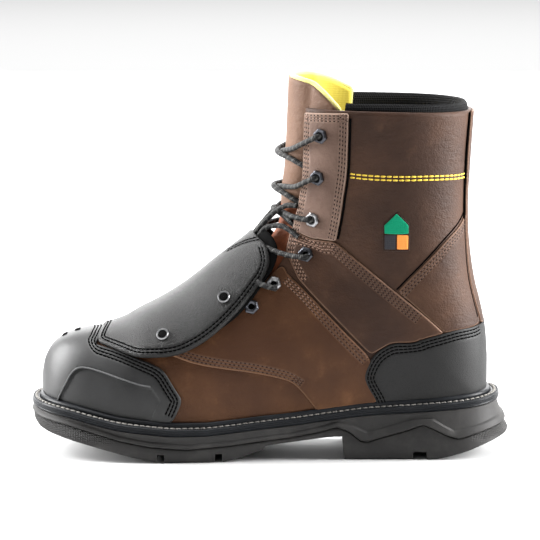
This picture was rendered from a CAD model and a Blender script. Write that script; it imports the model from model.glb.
"""The looks of a left work boot with an outer metatarsal guard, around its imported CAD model.

Metres, +Z up. The toe points to -X, the outer side is -Y. Tables of places are in millimetres.
Every panel of the upper lies on one form: fan line number u runs from the toe (0) to the collar (23),
and step s runs round it from the outer side's end (-1) over the ridge (0) to the inner side's (1).
"""

import math

import bmesh
import bpy
import numpy as np
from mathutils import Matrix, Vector, kdtree
from mathutils.geometry import delaunay_2d_cdt


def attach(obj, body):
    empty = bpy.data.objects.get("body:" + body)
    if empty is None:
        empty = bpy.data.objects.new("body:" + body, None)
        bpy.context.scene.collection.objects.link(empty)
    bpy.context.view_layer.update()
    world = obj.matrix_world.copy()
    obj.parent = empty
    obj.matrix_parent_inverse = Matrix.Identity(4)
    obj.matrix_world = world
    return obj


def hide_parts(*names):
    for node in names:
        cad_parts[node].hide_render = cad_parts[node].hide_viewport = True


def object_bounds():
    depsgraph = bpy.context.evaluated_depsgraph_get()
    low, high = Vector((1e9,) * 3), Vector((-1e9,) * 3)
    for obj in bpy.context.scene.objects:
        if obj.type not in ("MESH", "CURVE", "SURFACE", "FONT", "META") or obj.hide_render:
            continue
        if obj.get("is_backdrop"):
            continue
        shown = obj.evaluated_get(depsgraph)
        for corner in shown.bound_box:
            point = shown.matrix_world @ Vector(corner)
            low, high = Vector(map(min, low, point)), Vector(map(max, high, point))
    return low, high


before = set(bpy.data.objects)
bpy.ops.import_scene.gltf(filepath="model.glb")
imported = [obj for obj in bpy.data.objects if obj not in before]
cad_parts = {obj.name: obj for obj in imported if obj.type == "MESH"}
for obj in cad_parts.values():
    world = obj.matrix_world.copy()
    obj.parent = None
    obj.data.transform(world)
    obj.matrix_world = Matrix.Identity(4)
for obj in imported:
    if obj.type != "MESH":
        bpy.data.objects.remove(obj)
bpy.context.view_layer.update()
MM = 0.001
OUTER, INNER = -1, 1
SIDES = ((OUTER, "outer"), (INNER, "inner"))

# Sizes shared with the CAD model: thicknesses in metres, then tables in millimetres
GAP = 0.0003
WALL = 0.0024
OVERLAY = 0.0018
CAP_RUBBER = 0.0025
COUNTER_LEATHER = 0.0021
PAD_LOW, PAD_HIGH = 0.0022, 0.0056
GUARD_THICK = 0.0030
GUARD_LOW, GUARD_HIGH = 0.0042, 0.0088
LACE_WIDTH = 0.0036
# Fan lines from toe to collar: front X and Z, end X, half width, where it is widest, squareness
SECTIONS = np.array((
    (-150.2, 33.5, -149.9, 41.2, 0.80, 2.6), (-150.2, 47.0, -143.0, 41.2, 0.80, 2.6),
    (-148.8, 58.0, -134.0, 41.2, 0.80, 2.6), (-144.5, 67.5, -124.0, 41.2, 0.80, 2.6),
    (-137.0, 74.0, -114.0, 41.2, 0.78, 2.6), (-124.5, 78.5, -104.0, 41.3, 0.76, 2.5),
    (-110.0, 80.5, -94.0, 42.0, 0.74, 2.4), (-95.0, 83.0, -82.0, 43.4, 0.72, 2.3),
    (-75.0, 91.5, -66.0, 45.0, 0.72, 2.2), (-52.0, 105.5, -46.0, 44.0, 0.73, 2.0),
    (-30.0, 123.0, -22.0, 40.4, 0.74, 1.9), (-10.0, 138.5, 8.0, 36.6, 0.74, 1.9),
    (-3.0, 145.0, 40.0, 35.0, 0.70, 2.0), (2.0, 151.0, 72.0, 35.5, 0.66, 2.0),
    (5.5, 157.0, 104.0, 36.2, 0.62, 2.1), (8.0, 162.5, 128.0, 37.0, 0.58, 2.1),
    (9.8, 168.0, 142.6, 37.8, 0.55, 2.2), (11.3, 173.5, None, 38.4, 0.52, 2.2),
    (12.5, 179.0, None, 39.2, 0.50, 2.3), (13.3, 184.5, None, 40.2, 0.48, 2.3),
    (14.0, 190.0, None, 41.2, 0.47, 2.4), (14.6, 199.0, None, 42.5, 0.46, 2.4),
    (15.2, 212.0, None, 44.0, 0.45, 2.4), (16.0, 232.0, None, 46.0, 0.45, 2.4),
    (16.8, 252.0, None, 47.5, 0.45, 2.4),
), dtype=float)
BACK_ENDS = ((16, 36.0), (17, 60.0), (18, 88.0), (19, 118.0), (20, 148.0), (21, 178.0), (22, 202.0),
             (23, 229.0), (24, 250.0))
HEEL_CORNER, COLLAR = 16, 23
TOE_TIP, TOE_LENGTH, TOE_SQUARENESS, BACK_SQUARENESS = -0.1502, 0.062, 2.3, 2.25
WELT_UNDERSIDE = (
    (-158.9, 31.5), (-150, 30.4), (-134, 28.2), (-117, 24.5), (-99, 20.8), (-81, 18.9), (-62, 17.5),
    (-45, 17.6), (-30, 18.7), (-8, 21.0), (13, 23.0), (40, 26.4), (66, 29.4), (95, 31.2), (113, 32.6),
    (131, 34.0), (160, 37.0),
)
BACK_LINE = (
    (30, 142.4), (48, 143.0), (60, 143.0), (75, 142.3), (88, 140.8), (100, 138.3), (115, 134.5),
    (134, 131.5), (150, 130.1), (168, 129.8), (190, 130.8), (210, 132.0), (229, 133.2), (260, 134.5),
)
HEEL_ROUND = ((30, 40), (100, 42), (180, 48), (232, 52))
SWING = ((-158.9, 4.8), (-117, 2.8), (-90, 0.4), (-65, -0.4), (-32, -2.2), (13, -3.6), (40, -3.0),
         (66, -1.5), (95, 0.0), (160, 0.0))
THROAT = (
    (-35, 130), (-30, 115), (-23, 108.5), (-14, 108.5), (-4, 116), (4, 124), (9.5, 133), (11.5, 142),
    (13.5, 149), (18, 163.2), (20.2, 174.1), (22, 187.2), (22.5, 202.2), (23, 223.3), (23.5, 240),
)
SOLE_TOE, SOLE_HEEL = -0.1589, 0.1530
SOLE_HALF = (
    (-158.9, 50.5), (-117, 50.4), (-99, 50.9), (-81, 51.8), (-65, 51.9), (-50, 50.2), (-32, 47.0),
    (-8, 42.4), (13, 38.8), (40, 37.0), (66, 37.4), (95, 39.2), (113, 39.5), (160, 39.5),
)
GROUND = (
    (-158.9, 22.0), (-154, 18.2), (-147, 16.0), (-141, 14.7), (-120, 10.0), (-99, 5.0), (-87, 2.2),
    (-74, 0), (-30, 0), (-20, 2.0), (-4, 7.4), (-3, 9.7), (13, 11.6), (38, 14.6), (47.6, 15.0),
    (49, 0), (110, 0), (118, 1.4), (131, 5.4), (142, 9.8), (149, 12.4), (153, 14.2),
)
OUTSOLE_TOP = (
    (-158.9, 26.8), (-152, 25.2), (-134, 22.6), (-117, 18.6), (-99, 13.8), (-79, 10.1), (-55, 8.3),
    (-26, 10.4), (-9, 12.4), (13, 14.6), (32, 18.0), (44, 21.2), (52, 18.2), (60, 11.9), (64, 11.2),
    (74, 14.3), (89, 18.5), (101, 22.8), (107, 20.4), (118, 15.0), (125, 13.2), (131, 15.0), (153, 21.2),
)
SIDE_RIB_TOP = (
    (-158.9, 28.8), (-134, 25.2), (-117, 21.5), (-99, 16.5), (-79, 13.0), (-55, 11.2), (-26, 13.2),
    (-9, 15.2), (13, 17.4), (32, 21.0), (44, 24.2), (54.7, 22.2), (64.6, 17.4), (80.4, 22.1),
    (95, 26.2), (107, 26.8), (115, 22.0), (122, 18.2), (140, 22.3), (153, 26.2),
)
HEEL_FLARE = ((44, 0), (54, 0.8), (113, 1.2), (131, 3.4), (153, 7.2))
# Tread grooves: X, width, height and half length
GROOVES = (
    (-117.6, 3.6, 4.5, 28), (-96, 4.4, 5, 32), (-71.9, 4.6, 5.2, 70), (-53, 4.4, 5, 34),
    (-33.8, 4.5, 5.5, 70), (74, 6, 5, 24), (99, 8.7, 5, 70), (123, 6, 6, 20),
)
EYELETS = ((34, 214.5), (32.1, 186.8), (29.1, 158.2), (24.2, 134.7), (3, 114.6), (-12.2, 100))
RIVETS = ((-68.7, 78.5), (-28.4, 103.2))

# The form, worked out for whole arrays of places at once


class Curve:
    """A smooth line through the points of a table, in order of their keys, that never swings past them."""

    def __init__(self, points):
        self.keys, self.values = np.array(points, float).T
        steps = np.diff(self.keys)
        rises = np.diff(self.values) / steps
        weight_in, weight_out = 2 * steps[1:] + steps[:-1], steps[1:] + 2 * steps[:-1]
        same = rises[:-1] * rises[1:] > 0
        safe = np.where(same, rises[:-1], 1), np.where(same, rises[1:], 1)
        mean = (weight_in + weight_out) / (weight_in / safe[0] + weight_out / safe[1])
        self.slopes = np.concatenate(([rises[0]], np.where(same, mean, 0), [rises[-1]]))

    def __call__(self, key):
        key = np.clip(np.asarray(key, float), self.keys[0], self.keys[-1])
        i = np.clip(np.searchsorted(self.keys, key, side="right") - 1, 0, len(self.keys) - 2)
        step = self.keys[i + 1] - self.keys[i]
        t = (key - self.keys[i]) / step
        start, end = self.values[i], self.values[i + 1]
        return (start * (1 + 2 * t) * (1 - t) ** 2 + self.slopes[i] * step * t * (1 - t) ** 2
                + end * t * t * (3 - 2 * t) + self.slopes[i + 1] * step * t * t * (t - 1))


def in_metres(table):
    return Curve([(key * MM, value * MM) for key, value in table])


def column(index, scale):
    return Curve([(i, row[index] * scale) for i, row in enumerate(SECTIONS) if not math.isnan(row[index])])


front_x, front_z, end_x = column(0, MM), column(1, MM), column(2, MM)
full_half_width, widest_at, squareness = column(3, MM), column(4, 1), column(5, 1)
end_z = Curve([(u, z * MM) for u, z in BACK_ENDS])
welt_underside, back_line, heel_round, swing = map(in_metres, (WELT_UNDERSIDE, BACK_LINE, HEEL_ROUND, SWING))
sole_half, heel_flare = in_metres(SOLE_HALF), in_metres(HEEL_FLARE)


def straight(table, x):
    keys, values = np.array(table, float).T * MM
    return np.interp(x, keys, values)


def smooth(t):
    t = np.clip(t, 0, 1)
    return t * t * (3 - 2 * t)


def dome(reach, power):
    return (1 - (1 - np.clip(reach, 0, 1)) ** power) ** (1 / power)


def fan_line(u):
    """Front and end of each fan line in the side view, each as X and Z."""
    low_end = end_x(np.minimum(u, HEEL_CORNER))
    high_end = end_z(np.maximum(u, HEEL_CORNER))
    on_sole = u <= HEEL_CORNER
    end = (np.where(on_sole, low_end, back_line(high_end)),
           np.where(on_sole, welt_underside(low_end) + GAP, high_end))
    return (front_x(u), front_z(u)), end


def centre_y(x, z):
    return swing(x) * (1 - smooth((z - 0.060) / 0.070))


def half_width(u, t, x, z):
    widest = widest_at(u)
    tuck = (0.055 + 0.065 * smooth((u - 11) / 3)) * (1 - smooth((u - 15.0) / 2.5))
    below = np.maximum(t - widest, 0) / (1 - widest)
    return (full_half_width(u) * dome(t / widest, squareness(u)) * (1 - tuck * below ** 2)
            * dome((x - TOE_TIP) / TOE_LENGTH, TOE_SQUARENESS)
            * dome((back_line(z) - x) / heel_round(z), BACK_SQUARENESS))


def share_of_line(u, s):
    closing = smooth((u - 13) / 3)
    return (1 - closing) * (1 - np.cos(np.pi / 2 * s)) + closing * (1 - np.cos(np.pi * s)) / 2


def on_form(u, s):
    """Points of the form, an array of X, Y, Z."""
    u, s = np.broadcast_arrays(np.asarray(u, float), np.asarray(s, float))
    (x0, z0), (x1, z1) = fan_line(u)
    t = share_of_line(u, np.abs(s))
    x, z = x0 + (x1 - x0) * t, z0 + (z1 - z0) * t
    width = half_width(u, t, x, z)
    width = np.where((np.abs(s) >= 1) & (u >= HEEL_CORNER) | (s == 0), 0, width)
    return np.stack((x, centre_y(x, z) + np.sign(s) * width, z), -1)


def normals(u, s):
    """The form's outward directions."""
    u, s = np.clip(u, 0.03, 23.97), np.clip(s, -0.985, 0.985)
    along = on_form(u + 0.02, s) - on_form(u - 0.02, s)
    across = on_form(u, s + 0.008) - on_form(u, s - 0.008)
    normal = np.cross(along, across)
    return normal / np.maximum(np.linalg.norm(normal, axis=-1, keepdims=True), 1e-12)


def lifted(u, s, lift):
    u, s = np.broadcast_arrays(np.asarray(u, float), np.asarray(s, float))
    normal = normals(u, s)
    middle = (s == 0) | (np.abs(s) >= 1) & (u >= HEEL_CORNER)
    normal[..., 1] = np.where(middle, 0, normal[..., 1])
    normal /= np.linalg.norm(normal, axis=-1, keepdims=True)
    return on_form(u, s) + normal * np.broadcast_to(lift, u.shape)[..., None]


def locate(x, z):
    """The fan lines and unsigned steps of points in the side view, in metres."""
    x, z = np.asarray(x, float), np.asarray(z, float)
    low, high = np.zeros_like(x), np.full_like(x, len(SECTIONS) - 1)
    for _ in range(34):
        middle = (low + high) / 2
        (x0, z0), (x1, z1) = fan_line(middle)
        above = (x1 - x0) * (z - z0) - (z1 - z0) * (x - x0) > 0
        low, high = np.where(above, middle, low), np.where(above, high, middle)
    u = (low + high) / 2
    (x0, z0), (x1, z1) = fan_line(u)
    t = ((x - x0) * (x1 - x0) + (z - z0) * (z1 - z0)) / ((x1 - x0) ** 2 + (z1 - z0) ** 2)
    t = np.clip(t, 0, 1)
    low, high = np.zeros_like(x), np.ones_like(x)
    for _ in range(30):
        middle = (low + high) / 2
        under = share_of_line(u, middle) < t
        low, high = np.where(under, middle, low), np.where(under, high, middle)
    return u, (low + high) / 2


def locate_high(x, z, high):
    """As locate, for places of the side view on a surface lifted off the form."""
    target = np.stack((x, z), -1)
    place = target.copy()
    for _ in range(6):
        u, s = locate(place[:, 0], place[:, 1])
        surface = lifted(u, -s, high(place) if callable(high) else high)[:, (0, 2)]
        place = place + target - surface
    return locate(place[:, 0], place[:, 1])


# The form laid out flat: a runs along the boot, b round it from the ridge, both in metres

LAST_LINE, LINE_COUNT, HALF_STEPS = 24, 480, 120
FLAT_U = np.linspace(0, LAST_LINE, LINE_COUNT + 1)
FLAT_S = np.linspace(-1, 1, 2 * HALF_STEPS + 1)
FLAT_GRID = on_form(FLAT_U[:, None], FLAT_S[None, :])
SIDE_RUNS = np.diff(FLAT_GRID[:, (HALF_STEPS // 2, 3 * HALF_STEPS // 2)], axis=0)
FLAT_A = np.concatenate(([0], np.cumsum(np.linalg.norm(SIDE_RUNS, axis=-1).mean(1))))
ROUND_STEPS = np.linalg.norm(np.diff(FLAT_GRID, axis=1), axis=-1)
FLAT_B = np.concatenate((np.zeros((LINE_COUNT + 1, 1)), np.cumsum(ROUND_STEPS, axis=1)), axis=1)
FLAT_B -= FLAT_B[:, HALF_STEPS:HALF_STEPS + 1]


def flat_rows(u):
    row = np.clip(u / LAST_LINE * LINE_COUNT, 0, LINE_COUNT - 0.001)
    low = row.astype(int)
    part = (row - low)[:, None]
    return FLAT_B[low] * (1 - part) + FLAT_B[low + 1] * part


def to_flat(u, s):
    u, s = np.atleast_1d(np.asarray(u, float)), np.atleast_1d(np.asarray(s, float))
    rows = flat_rows(u)
    step = np.clip((s + 1) * HALF_STEPS, 0, 2 * HALF_STEPS - 0.001)
    low = step.astype(int)
    part = step - low
    index = np.arange(len(u))
    b = rows[index, low] * (1 - part) + rows[index, low + 1] * part
    return np.stack((np.interp(u, FLAT_U, FLAT_A), b), -1)


def from_flat(flat):
    u = np.interp(flat[:, 0], FLAT_A, FLAT_U)
    rows = flat_rows(u)
    low = np.clip((rows <= flat[:, 1:2]).sum(1) - 1, 0, 2 * HALF_STEPS - 1)
    index = np.arange(len(u))
    start, end = rows[index, low], rows[index, low + 1]
    part = np.clip((flat[:, 1] - start) / np.maximum(end - start, 1e-9), 0, 1)
    return u, FLAT_S[low] + part / HALF_STEPS


def flat_points(flat, lift):
    return lifted(*from_flat(flat), lift)


def resampled(points, spacing, closed=False):
    """A line's points at even distances along it."""
    if closed:
        points = np.vstack((points, points[:1]))
    run = np.concatenate(([0], np.cumsum(np.linalg.norm(np.diff(points, axis=0), axis=1))))
    count = max(int(round(run[-1] / spacing)), 2)
    at = np.linspace(0, run[-1], count + 1)
    line = np.stack([np.interp(at, run, points[:, k]) for k in range(points.shape[1])], -1)
    return line[:-1] if closed else line


def drawn(points, closed=True, spacing=0.0009):
    """A smooth line from control points in the flat form, each with the size of its rounded corner."""
    points = [np.array(point, float) for point in points]
    count = len(points)
    line = []
    for i, point in enumerate(points):
        if not closed and i in (0, count - 1):
            line.append(point[:2])
            continue
        before, after = points[i - 1][:2] - point[:2], points[(i + 1) % count][:2] - point[:2]
        reach = [min(point[2] / max(np.linalg.norm(way), 1e-9), 0.5) for way in (before, after)]
        start, end = point[:2] + before * reach[0], point[:2] + after * reach[1]
        for t in np.linspace(0, 1, 9):
            line.append(start * (1 - t) ** 2 + 2 * point[:2] * t * (1 - t) + end * t * t)
    return resampled(np.array(line), spacing, closed)


def table_columns(table):
    """X, Z and corner size of places in millimetres, where a place without a corner size is well rounded."""
    return np.array([(*row, 30.0) if len(row) == 2 else row for row in table], float).T * MM


def side_path(table, side, closed=True):
    """Places of the side view as a line in the flat form."""
    x, z, corner = table_columns(table)
    u, s = locate(x, z)
    flat = to_flat(u, side * s)
    return drawn(np.column_stack((flat, corner)), closed)


def over_path(table, front_u, back_u, high=0.0):
    """As side_path, for a piece over the ridge: the table runs down one side, and the other mirrors it."""
    x, z, corner = table_columns(table)
    u, s = locate_high(x, z, high)
    outer = np.column_stack((to_flat(u, -s), corner))
    inner = np.column_stack((to_flat(u, s), corner))
    ridge_front = [(*to_flat(front_u, 0)[0], 0.03)]
    ridge_back = [(*to_flat(back_u, 0)[0], 0.03)]
    return drawn(ridge_front + list(outer) + ridge_back + list(inner[::-1]))


def ridge_path(table, ridge_u, high=0.0):
    """An open line in the flat form that runs down both sides from the ridge."""
    x, z, corner = table_columns(table)
    u, s = locate_high(x, z, high)
    outer, inner = (np.column_stack((to_flat(u, side * s), corner)) for side in (OUTER, INNER))
    return drawn(list(inner[::-1]) + [(*to_flat(ridge_u, 0)[0], 0.03)] + list(outer), False)


def inset(line, distance, closed=True):
    """A line of the flat form moved inwards, or to its left, by a real distance on the surface."""
    step = 1e-4
    here = flat_points(line, 0.0)
    by_a = (flat_points(line + (step, 0), 0.0) - here) / step
    by_b = (flat_points(line + (0, step), 0.0) - here) / step
    if closed:
        run = np.roll(here, -1, 0) - np.roll(here, 1, 0)
    else:
        run = np.gradient(here, axis=0)
    normal = np.cross(by_a, by_b)
    left = np.cross(normal, run)
    left /= np.maximum(np.linalg.norm(left, axis=1, keepdims=True), 1e-12)
    if closed and area(line) < 0:
        left = -left
    aa, ab, bb = (by_a * by_a).sum(1), (by_a * by_b).sum(1), (by_b * by_b).sum(1)
    la, lb = (left * by_a).sum(1), (left * by_b).sum(1)
    determinant = np.maximum(aa * bb - ab * ab, 1e-12)
    move = np.stack(((la * bb - lb * ab) / determinant, (lb * aa - la * ab) / determinant), -1)
    return line + move * distance


def rows_inside(line, offsets, outline):
    """Lines beside an open line, at distances in millimetres, on the side that lies in the outline."""
    moved = []
    for offset in offsets:
        row = inset(line, offset * MM, False)
        if not inside(row[len(row) // 3][None], outline)[0]:
            row = inset(line, -offset * MM, False)
        padded = np.vstack((np.repeat(row[:1], 4, 0), row, np.repeat(row[-1:], 4, 0)))
        row = np.stack([np.convolve(padded[:, k], np.full(9, 1 / 9), "valid") for k in range(2)], -1)
        moved.append(row[inside(row, outline)])
    return moved


def area(line):
    x, y = line.T
    return 0.5 * float(np.sum(x * np.roll(y, -1) - y * np.roll(x, -1)))


def inside(points, line):
    """Which flat points lie inside a closed flat line."""
    found = np.zeros(len(points), bool)
    x, y = points.T
    for (x0, y0), (x1, y1) in zip(line, np.roll(line, -1, 0)):
        if y0 != y1:
            crosses = ((y0 > y) != (y1 > y)) & (x < (x1 - x0) * (y - y0) / (y1 - y0) + x0)
            found ^= crosses
    return found


def distances(points, targets):
    """Each point's distance to the nearest of the targets."""
    tree = kdtree.KDTree(len(targets))
    for i, target in enumerate(targets):
        tree.insert(target, i)
    tree.balance()
    return np.array([tree.find(point)[2] for point in points])


# Meshes

FAR = 0.02


def deselect():
    bpy.ops.object.select_all(action="DESELECT")


def finished(name, mesh, nodes=(), angle=40):
    """A piece of the boot from a mesh: shaded, riding on the boot, standing for its CAD nodes."""
    mesh.name = name
    mesh.shade_smooth()
    mesh.set_sharp_from_angle(angle=math.radians(angle))
    piece = bpy.data.objects.new(name, mesh)
    bpy.context.scene.collection.objects.link(piece)
    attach(piece, "root")
    if nodes:
        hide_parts(*nodes)
    return piece


def mesh_of(points, faces, *materials):
    mesh = bpy.data.meshes.new("piece")
    mesh.from_pydata(np.asarray(points, float).tolist(), [], faces)
    for material in materials:
        mesh.materials.append(material)
    return mesh


def apply_modifiers(piece):
    deselect()
    bpy.context.view_layer.objects.active = piece
    piece.select_set(True)
    for modifier in list(piece.modifiers):
        bpy.ops.object.modifier_apply(modifier=modifier.name)


def thickened(piece, thickness, inner_slot=0):
    wall = piece.modifiers.new("wall", "SOLIDIFY")
    wall.thickness = thickness
    wall.offset = -1
    wall.material_offset = inner_slot
    apply_modifiers(piece)
    return piece


def note_values(mesh, **values):
    for name, numbers in values.items():
        attribute = mesh.attributes.new(name, "FLOAT", "POINT")
        attribute.data.foreach_set("value", np.asarray(numbers, np.float32))


def note_unworn(mesh):
    """Notes that a piece has no worn edge and no seam."""
    far = np.full(len(mesh.vertices), 2.0)
    note_values(mesh, edge=far, seam=far)


def wrap_map(mesh, spots_at):
    """A UV map that wraps a piece, from the places along and around it of each corner's vertex."""
    corners = np.zeros(len(mesh.loops), int)
    mesh.loops.foreach_get("vertex_index", corners)
    mesh.uv_layers.new(name="round").data.foreach_set("uv", np.stack(spots_at(corners), -1).ravel())


def weld(mesh, distance, turn_outwards=True):
    """Merges a mesh's doubles and turns its faces outwards."""
    work = bmesh.new()
    work.from_mesh(mesh)
    bmesh.ops.remove_doubles(work, verts=work.verts, dist=distance)
    if turn_outwards:
        bmesh.ops.recalc_face_normals(work, faces=work.faces)
    work.to_mesh(mesh)
    work.free()


def joined(parts):
    """Points and faces of several parts as one."""
    points, faces = [], []
    for part_points, part_faces in parts:
        start = sum(len(part) for part in points)
        points.append(np.asarray(part_points, float))
        faces += [[corner + start for corner in face] for face in part_faces]
    return np.vstack(points), faces


class Groove:
    """A line pressed into a panel, such as a stitched row or a moulded groove."""

    def __init__(self, line, width, depth):
        self.line, self.width, self.depth = resampled(line, 0.0012), width, depth


def sheet(outline, high, edge, thickness, cell, grooves, recess):
    """Points and faces of one sheet of a panel, and each point's distance to its edge and seams."""
    rings = [inset(outline, edge * share) for share in (0.15, 0.45, 1.0)]
    lines = [(groove.line, groove.width, False) for groove in grooves]
    lines += [(resampled(line, 0.0012, True), 0.0005, True) for line, _ in recess]
    for line, width, closed in lines:
        rings += [line] + [inset(line, sign * width, closed) for sign in (-1, 1)]
    low, top = outline.min(0), outline.max(0)
    filling = np.stack(np.meshgrid(*(np.arange(a, b, cell) for a, b in zip(low, top)), indexing="ij"), -1)
    filling = filling.reshape(-1, 2)
    filling = filling[inside(filling, outline)]
    edge_places = flat_points(outline, 0.0)
    places = flat_points(filling, 0.0)
    keep = distances(places, edge_places) > edge + 0.35 * cell
    for line, width, _ in lines:
        keep &= distances(places, flat_points(line, 0.0)) > width + 0.3 * cell
    flat = np.vstack([outline] + [ring[inside(ring, outline)] for ring in rings] + [filling[keep]])
    border = [list(range(len(outline)))]
    flat, _, faces, _, _, _ = delaunay_2d_cdt([Vector(point) for point in flat], [], border, 1, 1e-7)
    flat = np.array([tuple(point) for point in flat])
    u, s = from_flat(flat)
    base = on_form(u, s)
    rim = edge_places[np.abs(from_flat(outline)[1]) < 0.992]
    to_edge = distances(base, rim)
    rounding = np.sqrt(1 - (1 - np.clip(to_edge / edge, 0, 1)) ** 2)
    lift = high(base) if callable(high) else np.full(len(flat), high)
    lift = lift - (1 - rounding) * min(thickness * 0.75, edge)
    pressed = np.full(len(flat), FAR)
    for groove in grooves:
        to_line = distances(base, flat_points(groove.line, 0.0))
        lift -= groove.depth * np.exp(-(to_line / (0.6 * groove.width)) ** 2)
        pressed = np.minimum(pressed, to_line)
    for line, depth in recess:
        signed = distances(base, flat_points(line, 0.0)) * np.where(inside(flat, line), 1, -1)
        lift -= depth * smooth(signed / 0.0010 + 0.5)
    turned = [list(face) if area(flat[list(face)]) > 0 else list(face)[::-1] for face in faces]
    return lifted(u, s, lift), turned, to_edge, pressed


def panel(name, outlines, high, thickness, material, nodes=(), edge=0.0011, cell=0.0019,
          grooves=((), ()), recesses=((), ())):
    """A panel on the form, from one outline or from two halves that meet at the back of the heel."""
    halves = [sheet(outline, high, edge, thickness, cell, lines, recess)
              for outline, lines, recess in zip(outlines, grooves, recesses)]
    mesh = mesh_of(*joined([half[:2] for half in halves]), material)
    to_edge, to_seam = (np.concatenate([half[k] for half in halves]) for k in (2, 3))
    note_values(mesh, edge=np.minimum(to_edge, FAR) * 100, seam=to_seam * 100)
    piece = finished(name, mesh, nodes)
    if len(halves) > 1:
        weld(mesh, 5e-6, False)
    return thickened(piece, thickness)


def copies(name, shape_points, shape_faces, places, material, slot, smooth_angle=60):
    """One mesh of the same small shape at many places, each with a point and three directions."""
    size = len(shape_points)
    points = [origin + shape_points @ np.stack(directions) for origin, *directions in places]
    faces = [[corner + number * size for corner in face] for number in range(len(places)) for face in shape_faces]
    return finished(name, mesh_of(np.vstack(points), faces, material), angle=smooth_angle)


def tube(points, radius, sides):
    """Points and faces of a round strand along a line."""
    points = np.asarray(points, float)
    runs = np.gradient(points, axis=0)
    runs /= np.linalg.norm(runs, axis=1, keepdims=True)
    across = np.cross(runs[0], (0.13, 0.21, 0.97))
    vertices, faces = [], []
    for point, run in zip(points, runs):
        across = across - run * np.dot(across, run)
        across /= np.linalg.norm(across)
        upwards = np.cross(run, across)
        angles = np.linspace(0, 2 * np.pi, sides, endpoint=False)[:, None]
        vertices.append(point + radius * (np.cos(angles) * across + np.sin(angles) * upwards))
    count = len(points)
    for k in range(count - 1):
        for side in range(sides):
            a, b = k * sides + side, k * sides + (side + 1) % sides
            faces.append([a, b, b + sides, a + sides])
    faces.append(list(range(sides))[::-1])
    faces.append([(count - 1) * sides + side for side in range(sides)])
    return np.vstack(vertices), faces


def smooth_route(controls, spacing=0.0012):
    """A smooth line through control points in space."""
    controls = np.asarray(controls, float)
    ends = np.vstack((2 * controls[0] - controls[1], controls, 2 * controls[-1] - controls[-2]))
    line = []
    for p0, p1, p2, p3 in zip(ends, ends[1:], ends[2:], ends[3:]):
        for t in np.linspace(0, 1, 12, endpoint=False):
            line.append(0.5 * (2 * p1 + (p2 - p0) * t + (2 * p0 - 5 * p1 + 4 * p2 - p3) * t * t
                               + (3 * p1 - p0 - 3 * p2 + p3) * t ** 3))
    line.append(controls[-1])
    return resampled(np.array(line), spacing)


def lofted(rings, caps=()):
    """Points and faces between closed rings of equal length, with the rings named in caps filled."""
    size = len(rings[0])
    faces = []
    for level in range(len(rings) - 1):
        for k in range(size):
            a, b = level * size + k, level * size + (k + 1) % size
            faces.append([a, b, b + size, a + size])
    for level in caps:
        base, half = level * size, size // 2
        for k in range(half - 1):
            faces.append([base + k, base + k + 1, base + size - 2 - k, base + size - 1 - k])
    return np.vstack(rings), faces


def outwards(piece):
    """A closed piece with its doubles merged and its faces turned outwards."""
    weld(piece.data, 2e-6)
    return piece


# Finishes, with pattern scales per metre

KNURL, BRAID = 2600.0, 2400.0
SHADOW = (0.001, 0.001, 0.001)


class Wire:
    """A value on its way through a material's nodes. Arithmetic on it adds Math nodes."""

    def __init__(self, finish, socket):
        self.finish, self.socket = finish, socket

    def maths(self, operation, *values, clamp=False):
        return self.finish.node("ShaderNodeMath", {"operation": operation, "use_clamp": clamp}, *values)

    def __add__(self, other):
        return self.maths("ADD", self, other)

    def __radd__(self, other):
        return self.maths("ADD", other, self)

    def __sub__(self, other):
        return self.maths("SUBTRACT", self, other)

    def __rsub__(self, other):
        return self.maths("SUBTRACT", other, self)

    def __mul__(self, other):
        return self.maths("MULTIPLY", self, other)

    def __rmul__(self, other):
        return self.maths("MULTIPLY", other, self)

    def wave(self):
        return self.maths("SINE", self)

    def clipped(self):
        return self.maths("ADD", self, 0.0, clamp=True)

    def between(self, low, high):
        """0 at low, 1 at high, smooth in between."""
        settings = {"interpolation_type": "SMOOTHSTEP"}
        return self.finish.node("ShaderNodeMapRange", settings, self, low, high, 0.0, 1.0)


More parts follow.
